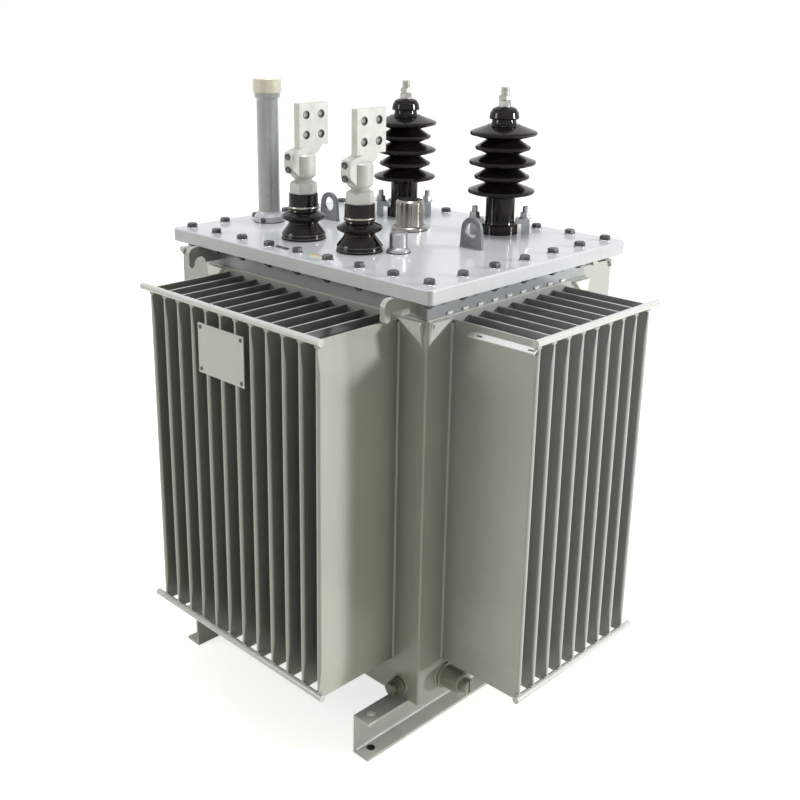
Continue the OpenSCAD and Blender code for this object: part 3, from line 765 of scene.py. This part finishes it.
@dataclass
class LidBolts:
    """Hexagon bolts through lid and rim flange, with washers above and nuts below.

    Places and seats are in metres; the sizes of the fasteners are in millimetres, as their profiles are.
    """

    along: int = 9
    across: int = 7
    inset: float = 31.0 * MM
    flange: float = 10.0 * MM
    seat: float = 2.1 * MM
    apothem: float = 9.5
    head: float = 8.5
    washer: float = 12.0
    washer_thick: float = 2.2
    nut: float = 14.4
    shank: float = 5.8
    bolt_end: float = 19.0
    turns: int = 5
    turn: float = 0.37
    nut_turn: float = 0.3

    def spots(self) -> np.ndarray:
        """Bolt places around the lid.

        Returns:
            Places in the plane of the lid, corners counted once.
        """
        low, high = node_box("lid")
        low, high = low + self.inset, high - self.inset
        x = np.linspace(low[X], high[X], self.along)
        y = np.linspace(low[Y], high[Y], self.across)[1:-1]
        rows = [np.column_stack([x, np.full(len(x), edge)]) for edge in (low[Y], high[Y])]
        rows += [np.column_stack([np.full(len(y), edge), y]) for edge in (low[X], high[X])]
        flat = np.concatenate(rows)
        return np.column_stack([flat, np.zeros(len(flat))])

    def head_shell(self) -> Shell:
        """Turns a hexagon head: six flats, a bevel and a shallow dish in the top.

        Returns:
            The head, standing on its washer.
        """
        a, h = self.apothem, self.head
        flats = ((-0.97 * a, 0.0), (-a, 0.6), (-a, h - 2.4))
        dish = ((0.97 * a, h - 0.3), (0.9 * a, h), (0.66 * a, h - 0.4), (0.2 * a, h - 0.5))
        return Shell.turned(flats + dish, flats=6)

    def washer_shell(self) -> Shell:
        """Turns a washer with a bevelled rim."""
        w, t = self.washer, self.washer_thick
        return Shell.turned(((w, 0.0), (w, t - 0.6), (w - 0.8, t), (0.6 * self.apothem, t)))

    def nut_shell(self) -> Shell:
        """Turns a washer, a hexagon nut and the bolt's end in one.

        Returns:
            The nut, its washer at the bottom.
        """
        w, a, s, end = self.washer, self.apothem, self.shank, self.bolt_end
        plate = ((w, 0.0), (w, self.washer_thick))
        flats = ((-a, self.washer_thick + 0.2), (-a, self.nut - 1.2), (0.96 * a, self.nut))
        shank = ((s, self.nut), (s, end - 1.0), (s - 1.2, end), (1.0, end))
        return Shell.turned(plate + flats + shank, flats=6)

    def build(self) -> None:
        """Builds washers, heads, and nuts with bolt ends, as three pieces."""
        spots = self.spots()
        top = node_box("lid")[1][Z]
        under = node_box("top_rim")[1][Z] - self.flange
        washers = self.washer_shell().placed(spots + (0.0, 0.0, top))
        add_piece("lid_bolt_washers", washers, ZINC)
        seats = spots + (0.0, 0.0, top + self.seat)
        head = self.head_shell()
        heads = [head.placed(seats[k::self.turns], spin=self.turn * k) for k in range(self.turns)]
        add_piece("lid_bolt_heads", Shell.join(heads), BLACKED, Edge.HEXAGON)
        nuts = self.nut_shell().placed(spots + (0.0, 0.0, under), Axis.DOWN, self.nut_turn)
        add_piece("rim_bolt_nuts", nuts, BLACKED, Edge.HEXAGON)


@dataclass
class LowVoltageFittings:
    """Set screws in the clamp blocks, dark rims that paint the shade at the pad holes' edges, and rings on
    the bushings, the skirt rings in a lighter glaze that paints their highlights.

    Profiles are in millimetres.
    """

    connectors: Tuple[str, str] = ("lv_connector_a", "lv_connector_b")
    bushings: Tuple[str, str] = ("lv_bushing_a", "lv_bushing_b")
    screw: Profile = (
        (6.8, -3.0), (6.8, 1.9), (6.2, 2.4), (5.4, 2.2), (4.9, 0.9), (3.4, 0.7), (3.0, 0.45), (0.6, 0.4)
    )
    screw_shift: float = -2.0 * MM
    screw_heights: Pair = (24.0 * MM, 50.0 * MM)
    # Dark rim at each pad hole's edge: painted shade.
    hole_rim: Profile = ((8.9, -0.5), (6.8, -4.0), (6.7, -1.0), (7.5, 0.45), (8.6, 0.35))
    pad_place: Point = (8.0 * MM, -39.0 * MM, -43.0 * MM)
    pad_pitch: float = 40.0 * MM
    barrel_ring: Ring = Ring(66.0 * MM, 30.4 * MM, (4.4 * MM, 1.0 * MM))
    skirt_rings: Tuple[Ring, Ring] = (
        Ring(4.4 * MM, 45.0 * MM, (2.4 * MM, 1.1 * MM)), Ring(11.5 * MM, 44.4 * MM, (2.4 * MM, 1.1 * MM))
    )

    def build(self) -> None:
        """Builds the screws, the hole rims and the rings."""
        screw, rim = Shell.turned(self.screw), Shell.eyelet(self.hole_rim)
        halves = (-0.5, 0.5)
        square = np.array([[0.0, a, b] for a in halves for b in halves]) * self.pad_pitch
        screws, rims = [], []
        for name in self.connectors:
            low, high = node_box(name)
            axis_x = middle(name)[X]
            spots = [[axis_x + self.screw_shift, low[Y], low[Z] + z] for z in self.screw_heights]
            screws.append(screw.placed(np.array(spots), Axis.FRONT))
            pad = np.array([axis_x, high[Y], high[Z]]) + self.pad_place
            rims.append(rim.placed(pad + square, Axis.RIGHT))
        add_piece("clamp_set_screws", Shell.join(screws), BLACKED)
        add_piece("pad_hole_rims", Shell.join(rims), BLACKED)
        bases = [foot(name) for name in self.bushings]
        pale = [self.barrel_ring.around(base) for base in bases]
        add_piece("barrel_foot_rings", Shell.join(pale), CHROME, Edge.RING)
        # The skirt rings' lighter glaze is a painted highlight.
        dark = [ring.around(base) for base in bases for ring in self.skirt_rings]
        add_piece("skirt_rings", Shell.join(dark), RING_HIGHLIGHT_GLAZE, Edge.RING)


@dataclass
class HighVoltageFittings:
    """Nuts and studs of the foot clamps, and the threads of the terminal studs.

    The nut's profile is in millimetres and takes in its washer and the stud's end.
    """

    bushings: Tuple[str, str] = ("hv_bushing_a", "hv_bushing_b")
    clamp_turn: float = math.radians(42.0)
    clamp_reach: float = 53.0 * MM
    clamp_top: float = 32.0 * MM
    nut: Profile = (
        (12.5, 0.0), (12.5, 2.0), (-9.5, 2.2), (-9.5, 10.5), (9.2, 12.4), (6.2, 12.4), (6.0, 24.0),
        (4.8, 25.4), (1.0, 25.4)
    )
    nut_turn: float = 0.4
    thread_span: Pair = (23.2 * MM, 39.4 * MM)
    thread_radius: float = 8.9 * MM
    thread_depth: float = 0.7 * MM
    thread_pitch: float = 2.4 * MM
    thread_rows: int = 6
    thread_sides: int = 20

    def thread(self) -> Shell:
        """Threaded sleeve about Z.

        The radius at height z and angle t is the root radius plus the depth times a triangle wave of
        z over the pitch less t over a full turn; both ends shrink to the root.

        Returns:
            The closed sleeve.
        """
        (low, high), pitch, depth = self.thread_span, self.thread_pitch, self.thread_depth
        z = np.linspace(low, high, int((high - low) / pitch * self.thread_rows) + 1)[:, None]
        t = (np.arange(self.thread_sides) * TAU / self.thread_sides)[None, :]
        wave = np.abs(np.mod(z / pitch - t / TAU, 1.0) * 2.0 - 1.0)
        fade = np.clip(np.minimum(z - low, high - z) / pitch, 0.0, 1.0)
        r = self.thread_radius - depth + depth * wave * fade
        return Shell.loft(np.stack([r * np.cos(t), r * np.sin(t), np.broadcast_to(z, r.shape)], axis=-1))

    def build(self) -> None:
        """Builds the clamp nuts with their studs, and the stud threads."""
        nut, sleeve = Shell.turned(self.nut, flats=6), self.thread()
        out = np.array([math.cos(self.clamp_turn), math.sin(self.clamp_turn), 0.0]) * self.clamp_reach
        nuts, threads = [], []
        for name in self.bushings:
            base = foot(name)
            seat = base + (0.0, 0.0, self.clamp_top)
            nuts.append(nut.placed(np.array([seat + out, seat - out]), spin=self.nut_turn))
            threads.append(sleeve.placed(np.array([base[X], base[Y], node_box(name)[1][Z]])))
        add_piece("foot_clamp_nuts", Shell.join(nuts), ZINC, Edge.HEXAGON)
        add_piece("terminal_threads", Shell.join(threads), STUD, Edge.RING)


@dataclass
class Welds:
    """Weld beads of rim, lugs, channels and bosses, tacks at the fins, and the channels' rolled fillets; the
    ledge beads and the fillets are pale, a painted highlight.

    Each pair of sizes is the width and the height of a bead. A tack's size is its radius and its height in
    millimetres.
    """

    channels: Tuple[str, str] = ("base_channel_left", "base_channel_right")
    lifting_lugs: Tuple[str, str] = ("lifting_lug_left", "lifting_lug_right")
    fins: Tuple[int, int] = (12, 9)
    fin_inset: float = 74.0 * MM
    seam: Pair = (6.0 * MM, 3.0 * MM)
    rim_seam: Pair = (6.0 * MM, 3.2 * MM)
    rim_step: float = 3.0 * MM
    rim_leg: float = 4.0 * MM
    rim_lift: float = 0.6 * MM
    ledge_seam: Pair = (6.0 * MM, 4.0 * MM)
    ledge_half: float = 8.0 * MM
    ledge_shift: float = 9.0 * MM
    ledge_depth: float = 4.4 * MM
    ledge_lift: float = 5.0 * MM
    ledge_facing: Pair = (0.8, 0.6)
    ledge_sag: Tuple[float, ...] = (2.0 * MM, 0.6 * MM, 0.0, 0.6 * MM, 2.0 * MM)
    fillet: Pair = (8.0 * MM, 3.4 * MM)
    fillet_points: int = 60
    web: float = 6.0 * MM
    flange: float = 9.0 * MM
    end_gap: float = 1.0 * MM
    lug_points: int = 22
    floor_gap: float = 20.0 * MM
    floor_droop: float = -0.6
    floor_points: int = 150
    boss_seam: Pair = (5.0 * MM, 2.6 * MM)
    boss_points: int = 40
    tack_size: Pair = (3.2, 2.8)
    tack_crown: float = 0.48 * math.pi
    tack_rows: int = 4
    tack_sides: int = 8
    tack_shift: float = 4.2 * MM
    tack_gap: float = 15.0 * MM

    def tack(self) -> Shell:
        """Low round weld spot: at angle a, the radius times cos a and the height times sin a.

        Returns:
            The spot, its dome towards Z.
        """
        radius, height = self.tack_size
        angles = np.linspace(0.0, self.tack_crown, self.tack_rows)
        dome = [(radius * math.cos(a), height * math.sin(a)) for a in angles]
        return Shell.turned([(radius, -height)] + dome, self.tack_sides)

    def fin_places(self, axis: int) -> np.ndarray:
        """Middles of the fins of a wall that runs along an axis."""
        half = node_box("corner_posts")[1][axis] - self.fin_inset
        return np.linspace(-half, half, self.fins[axis])

    def rim(self) -> None:
        """Lays the bead in the corner between wall panels and rim leg."""
        high = node_box("corner_posts")[1]
        half = high[:Z] - self.rim_leg
        path = ring_path(half[X], half[Y], high[Z] + self.rim_lift, self.rim_step)
        on_edge = np.isclose(np.abs(path[:, :Z]), half)
        out = np.column_stack([np.sign(path[:, :Z]) * on_edge, np.ones(len(path))])
        out /= np.linalg.norm(out, axis=1, keepdims=True)
        add_piece("rim_weld", Shell.bead(path, out, self.rim_seam, True), TANK_PAINT, Edge.BEAD)

    def rim_tacks(self) -> None:
        """Lays short beads on the ledge beside each fin of the left and right walls, in pale paint as a
        painted highlight.
        """
        high = node_box("corner_posts")[1]
        sag, (out, up) = np.array(self.ledge_sag), self.ledge_facing
        run = np.linspace(-self.ledge_half, self.ledge_half, len(sag))
        beads = []
        for place in self.fin_places(Y) - self.ledge_shift:
            for side in (-1.0, 1.0):
                x = np.full(len(sag), side * (high[X] - self.ledge_depth))
                path = np.column_stack([x, place + run, high[Z] + self.ledge_lift + sag])
                beads.append(Shell.bead(path, unit((side * out, 0.0, up)), self.ledge_seam))
        add_piece("rim_tacks", Shell.join(beads), HIGHLIGHT_PAINT, Edge.BEAD)

    def fillets(self) -> None:
        """Lays the rolled fillets between web and flanges of both channels, in pale paint as a painted
        highlight along the joints.
        """
        beads = []
        for name in self.channels:
            low, high = node_box(name)
            side = math.copysign(1.0, low[X] + high[X])
            x = (low[X] if side > 0.0 else high[X]) + side * self.web
            for z, rise in ((low[Z] + self.flange, 1.0), (high[Z] - self.flange, -1.0)):
                ends = ((x, low[Y] + self.end_gap, z), (x, high[Y] - self.end_gap, z))
                path = np.linspace(*ends, self.fillet_points)
                beads.append(Shell.bead(path, unit((side, 0.0, rise)), self.fillet, ripple=0.0))
        add_piece("channel_fillets", Shell.join(beads), HIGHLIGHT_PAINT, Edge.RING)

    def lugs(self) -> None:
        """Lays fillet welds along both sides of each lifting lug."""
        beads = []
        for name in self.lifting_lugs:
            low, high = node_box(name)
            for y, out in ((low[Y], -1.0), (high[Y], 1.0)):
                ends = ((low[X] + self.end_gap, y, low[Z]), (high[X] - self.end_gap, y, low[Z]))
                path = np.linspace(*ends, self.lug_points)
                beads.append(Shell.bead(path, unit((0.0, out, 1.0)), self.seam))
        add_piece("lug_welds", Shell.join(beads), LUG_PAINT, Edge.BEAD)

    def base(self) -> None:
        """Lays the beads between tank floor and channels, and around drain flange and earth boss."""
        beads = []
        front, back = (box[Y] for box in node_box("tank_floor"))
        for name in self.channels:
            low, high = node_box(name)
            x = high[X] if high[X] > 0.0 else low[X]
            ends = ((x, front + self.floor_gap, high[Z]), (x, back - self.floor_gap, high[Z]))
            out = unit((math.copysign(1.0, x), 0.0, self.floor_droop))
            beads.append(Shell.bead(np.linspace(*ends, self.floor_points), out, self.seam))
        low, high = node_box("drain_valve")
        spot = np.array([low[X], *middle("drain_valve")[Y:]])
        ring = circle_path(spot, (high[Z] - low[Z]) / 2.0, Axis.BACK, Axis.UP)
        beads.append(Shell.bead(ring, Axis.RIGHT.value, self.seam, True))
        low, high = node_box("earth_boss")
        spot = middle("earth_boss")
        spot[Y] = high[Y]
        ring = circle_path(spot, (high[Z] - low[Z]) / 2.0, Axis.RIGHT, Axis.UP, self.boss_points)
        beads.append(Shell.bead(ring, Axis.FRONT.value, self.boss_seam, True))
        add_piece("base_welds", Shell.join(beads), TANK_PAINT, Edge.BEAD)

    def noses(self) -> None:
        """Sets tacks on both sides of each fin nose, beside both tie rods of each wall."""
        rows: List[np.ndarray] = []
        for wall, along in (("front", X), ("back", X), ("right", Y), ("left", Y)):
            rods = f"{wall}_tie_rods"
            low, high = node_box(rods)
            places = (self.fin_places(along)[:, None] + (-self.tack_shift, self.tack_shift)).ravel()
            for z in (low[Z] + self.tack_gap, high[Z] - self.tack_gap):
                row = np.tile(middle(rods), (len(places), 1))
                row[:, along], row[:, Z] = places, z
                rows.append(row)
        spots, ball = np.concatenate(rows), self.tack()
        both = Shell.join([ball.placed(spots), ball.placed(spots, Axis.DOWN)])
        add_piece("fin_nose_tacks", both, TANK_PAINT, Edge.BEAD)

    def build(self) -> None:
        """Lays all the beads and tacks."""
        self.rim()
        self.rim_tacks()
        self.fillets()
        self.lugs()
        self.base()
        self.noses()


@dataclass
class SmallFittings:
    """Plate screws, strips on the lid, foot gaskets, and dark cups and strips that paint the shade of holes
    and slots.

    Profiles are in millimetres; each size of a strip or slot is its width and height.
    """

    plate_screw: Profile = ((4.2, -0.5), (4.2, 0.6), (3.4, 1.6), (1.8, 2.2), (0.4, 2.3))
    plate_margin: float = 8.0 * MM
    clip_ends: Tuple[Pair, Pair] = ((-70.0 * MM, -262.0 * MM), (-36.0 * MM, -263.0 * MM))
    clip_size: Pair = (7.0 * MM, 4.0 * MM)
    tab_ends: Tuple[Pair, Pair] = ((32.0 * MM, -261.0 * MM), (58.0 * MM, -257.0 * MM))
    tab_size: Pair = (13.0 * MM, 3.0 * MM)
    tab_ripple: float = 0.05
    strip_points: int = 8
    slot_points: int = 6
    sealed: Tuple[str, ...] = (
        "lv_bushing_a", "lv_bushing_b", "relief_valve_base", "thermometer_pocket", "gauge_base"
    )
    seal_lift: float = 0.6 * MM
    seal_inset: float = 1.0 * MM
    seal_size: Pair = (2.6 * MM, 2.2 * MM)
    gauge_screw: Profile = ((5.6, -4.0), (5.6, 3.4), (4.8, 3.8), (3.8, 3.6), (3.2, 2.8), (0.5, 2.7))
    gauge_screw_place: Point = (14.0 * MM, -29.6 * MM, 7.0 * MM)
    shade_cup: Profile = ((9.1, -5.5), (9.1, 0.25), (8.5, 0.3), (8.1, -4.6), (0.5, -4.9))
    hole_inset: float = 28.0 * MM
    hole_top: float = 6.6 * MM
    rail_tilt: float = math.radians(35.0)
    rail_places: Pair = (24.0 * MM, -10.0 * MM)
    rail_drop: Point = (0.0, -0.4 * MM, -4.5 * MM)
    slot_half: float = 6.0 * MM
    slot_lift: float = 0.6 * MM
    slot_size: Pair = (4.5 * MM, 0.5 * MM)
    gusset_slot: Tuple[Point, Point] = (
        (9.0 * MM, 8.0 * MM, -3.0 * MM), (7.0 * MM, 8.0 * MM, -12.0 * MM)
    )
    gusset_slot_size: Pair = (5.0 * MM, 1.0 * MM)

    def plate_screws(self) -> Shell:
        """Round screw heads in the four corners of the plate.

        Returns:
            The four heads.
        """
        low, high = node_box("front_plate")
        m = self.plate_margin
        spots = [[x, low[Y], z] for x in (low[X] + m, high[X] - m) for z in (low[Z] + m, high[Z] - m)]
        return Shell.turned(self.plate_screw, 16).placed(np.array(spots), Axis.FRONT)

    def strip(self, ends: Tuple[Pair, Pair], size: Pair, ripple: float) -> Shell:
        """Low half round strip that lies on the lid.

        Args:
            ends: where the strip starts and ends.
            size: its width and height.
            ripple: share of its unevenness.

        Returns:
            The strip.
        """
        top = node_box("lid")[1][Z]
        path = np.linspace((*ends[0], top), (*ends[1], top), self.strip_points)
        return Shell.bead(path, Axis.UP.value, size, ripple=ripple)

    def seal(self, name: str) -> Shell:
        """Thin gasket around the foot of a fitting.

        Args:
            name: CAD node of the fitting.

        Returns:
            The closed ring.
        """
        low, high = node_box(name)
        radius = (high[X] - low[X]) / 2.0 - self.seal_inset
        return Ring(self.seal_lift, radius, self.seal_size).around(foot(name))

    def hole_shades(self) -> List[Shell]:
        """Dark cups in the holding down holes: painted shade inside them.

        Returns:
            One shell for each channel.
        """
        cup, linings = Shell.turned(self.shade_cup), []
        for name in ("base_channel_left", "base_channel_right"):
            low, high = node_box(name)
            ends = (low[Y] + self.hole_inset, high[Y] - self.hole_inset)
            spots = np.array([[middle(name)[X], y, self.hole_top] for y in ends])
            linings.append(cup.placed(spots))
        return linings

    def rail_slots(self) -> List[Shell]:
        """Dark strips in the sloping face of the rail, painted shade for its slots.

        Returns:
            One shell for each slot.
        """
        low, high = node_box("plate_rail")
        slope = np.array([0.0, -math.sin(self.rail_tilt), math.cos(self.rail_tilt)])
        line = np.array([0.0, (low[Y] + high[Y]) / 2.0, high[Z]]) + self.rail_drop + slope * self.slot_lift
        run = np.linspace((-self.slot_half, 0.0, 0.0), (self.slot_half, 0.0, 0.0), self.slot_points)
        places = (low[X] + self.rail_places[0], high[X] + self.rail_places[1])
        return [Shell.bead(line + run + (x, 0.0, 0.0), slope, self.slot_size, ripple=0.0) for x in places]

    def gusset_mark(self) -> Shell:
        """Dark strip in the right face of the front gusset, painted shade for a small hole, square to the
        line between its ends.

        Returns:
            The slot.
        """
        corner = node_box("corner_posts")[1] * (1.0, -1.0, 1.0)
        path = corner + np.linspace(*self.gusset_slot, self.slot_points)
        fall = path[-1] - path[0]
        return Shell.bead(path, unit((-fall[Z], 0.0, fall[X])), self.gusset_slot_size, ripple=0.0)

    def build(self) -> None:
        """Builds the small fittings as one piece for each kind and finish."""
        add_piece("plate_screws", self.plate_screws(), BLACKED)
        clip = self.strip(self.clip_ends, self.clip_size, 0.0)
        add_piece("lid_edge_clip", clip, BLACKED, Edge.RING)
        tab = self.strip(self.tab_ends, self.tab_size, self.tab_ripple)
        add_piece("lid_brass_tab", tab, BRASS, Edge.RING)
        seals = [self.seal(name) for name in self.sealed]
        add_piece("foot_gaskets", Shell.join(seals), GASKET, Edge.RING)
        screw_spot = foot("gauge_base") + self.gauge_screw_place
        dark = [Shell.turned(self.gauge_screw, 20).placed(screw_spot, Axis.FRONT)]
        # Dark cups and strips, painted as the shade inside holes and slots, join the gauge screw in one
        # piece.
        dark += self.hole_shades() + self.rail_slots() + [self.gusset_mark()]
        add_piece("hole_shades", Shell.join(dark), BLACKED)


@dataclass(frozen=True)
class Lamp:
    """Square soft lamp at a spot, facing an aim; glossy surfaces show it where it is mirrored."""

    name: str
    spot: Point
    aim: Point
    side: float
    watts: float
    tint: Colour
    mirrored: bool = True

    def hang(self) -> None:
        """Makes the light and turns it to its aim."""
        data = bpy.data.lights.new(self.name, "AREA")
        data.shape = "SQUARE"
        data.size = self.side
        data.energy = self.watts
        data.color = self.tint
        lamp = bpy.data.objects.new(self.name, data)
        lamp.location = self.spot
        lamp.visible_camera = False
        lamp.visible_glossy = self.mirrored
        lamp.rotation_mode = "QUATERNION"
        lamp.rotation_quaternion = (Vector(self.aim) - Vector(self.spot)).to_track_quat("-Z", "Y")
        bpy.context.scene.collection.objects.link(lamp)


COOL: Colour = (0.96, 0.985, 1.0)
PLAIN: Colour = (1.0, 1.0, 0.98)
LAMPS: Tuple[Lamp, ...] = (
    Lamp("lamp_above", (-0.2, 0.2, 6.0), (0.0, 0.0, 0.9), 1.6, 215.0, COOL),
    Lamp("lamp_right", (3.4, 2.09, 2.0), (0.2, 0.0, 0.6), 0.45, 125.0, COOL),
    Lamp("lamp_low", (3.3, 2.0, 0.12), (0.3, -0.2, 0.12), 0.14, 44.0, COOL, False),
    Lamp("lamp_front", (-1.8, -3.2, 2.0), (0.0, 0.0, 0.6), 1.2, 50.0, PLAIN),
)


@dataclass
class Studio:
    """Pale floor, white surround and soft lamps, with the photograph's camera.

    The focal length and the picture's centre are in pixels of a square frame.
    """

    floor_half: float = 40.0
    floor_colour: Colour = (0.54, 0.53, 0.43)
    near_glow: float = 0.72
    near_square: float = 0.08
    far_square: float = 0.6
    fill: Colour = (0.215, 0.225, 0.225)
    azimuth: float = math.radians(46.688)
    elevation: float = math.radians(17.062)
    station: Point = (1.5443, -1.6264, 1.4199)
    focal: float = 1077.68
    centre: Pair = (334.2, 335.7)
    frame_px: float = 800.0
    sensor: float = 36.0
    clip_end: float = 200.0

    @staticmethod
    def seen(graph: Graph) -> Sock:
        """Tells the rays that show a surround from those that carry its light.

        Args:
            graph: tree that the nodes go to.

        Returns:
            1 for camera, glossy and transmission rays, else 0.
        """
        kinds = ("Is Camera Ray", "Is Glossy Ray", "Is Transmission Ray")
        camera, glossy, through = (graph.make("ShaderNodeLightPath", {}, {}, kind) for kind in kinds)
        return (camera + glossy + through).between(0.0, 1.0)

    def floor(self) -> None:
        """Lays a flat floor that glows towards the camera, from a soft grey by the part to white farther off.

        The glow rises with x squared plus y squared, so that the floor keeps the part's shadow.
        """
        h = self.floor_half
        mesh = bpy.data.meshes.new("studio_floor")
        mesh.from_pydata([(-h, -h, 0.0), (h, -h, 0.0), (h, h, 0.0), (-h, h, 0.0)], [], [(0, 1, 2, 3)])
        floor = bpy.data.objects.new("studio_floor", mesh)
        bpy.context.scene.collection.objects.link(floor)
        graph = Graph(bpy.data.materials.new("floor_paper"))
        base = graph.make("ShaderNodeBsdfDiffuse", {}, {"Color": self.floor_colour})
        x, y = graph.along(X), graph.along(Y)
        away = (x * x + y * y).between(self.near_square, self.far_square)
        tone = graph.blend(away, (self.near_glow,) * 3, WHITE)
        lit = graph.blend(self.seen(graph), BLACK, tone)
        glow = graph.make("ShaderNodeEmission", {}, {"Color": lit, "Strength": 1.0})
        both = graph.make("ShaderNodeAddShader", {}, {0: base, 1: glow})
        graph.make("ShaderNodeOutputMaterial", {}, {"Surface": both})
        mesh.materials.append(graph.owner)

    def world(self) -> None:
        """Makes the surround white where it is seen and a soft even fill elsewhere."""
        world = bpy.data.worlds.new("studio_surround")
        bpy.context.scene.world = world
        graph = Graph(world)
        tone = graph.blend(self.seen(graph), self.fill, WHITE)
        shine = graph.make("ShaderNodeBackground", {}, {"Color": tone, "Strength": 1.0})
        graph.make("ShaderNodeOutputWorld", {}, {"Surface": shine})

    def camera(self) -> None:
        """Stands the camera at the photograph's place, with its centre off the frame's middle."""
        a, e = self.azimuth, self.elevation
        back = Vector((math.sin(a) * math.cos(e), -math.cos(a) * math.cos(e), math.sin(e)))
        data = bpy.data.cameras.new("camera")
        data.sensor_width = self.sensor
        data.lens = self.sensor * self.focal / self.frame_px
        data.shift_x = 0.5 - self.centre[0] / self.frame_px
        data.shift_y = self.centre[1] / self.frame_px - 0.5
        data.clip_end = self.clip_end
        camera = bpy.data.objects.new("camera", data)
        camera.location = self.station
        camera.rotation_mode = "QUATERNION"
        camera.rotation_quaternion = (-back).to_track_quat("-Z", "Y")
        bpy.context.scene.collection.objects.link(camera)
        bpy.context.scene.camera = camera

    def build(self) -> None:
        """Sets up floor, surround, lamps, camera and view transform."""
        self.floor()
        self.world()
        for lamp in LAMPS:
            lamp.hang()
        self.camera()
        bpy.context.scene.view_settings.view_transform = "Standard"
        LOG.info("studio is up")


def main() -> None:
    """Builds the pieces in order, then the studio."""
    logging.basicConfig(level=logging.INFO, format="%(name)s: %(message)s")
    dress_nodes()
    LidBolts().build()
    LowVoltageFittings().build()
    HighVoltageFittings().build()
    Welds().build()
    SmallFittings().build()
    Studio().build()


if __name__ == "__main__":
    main()
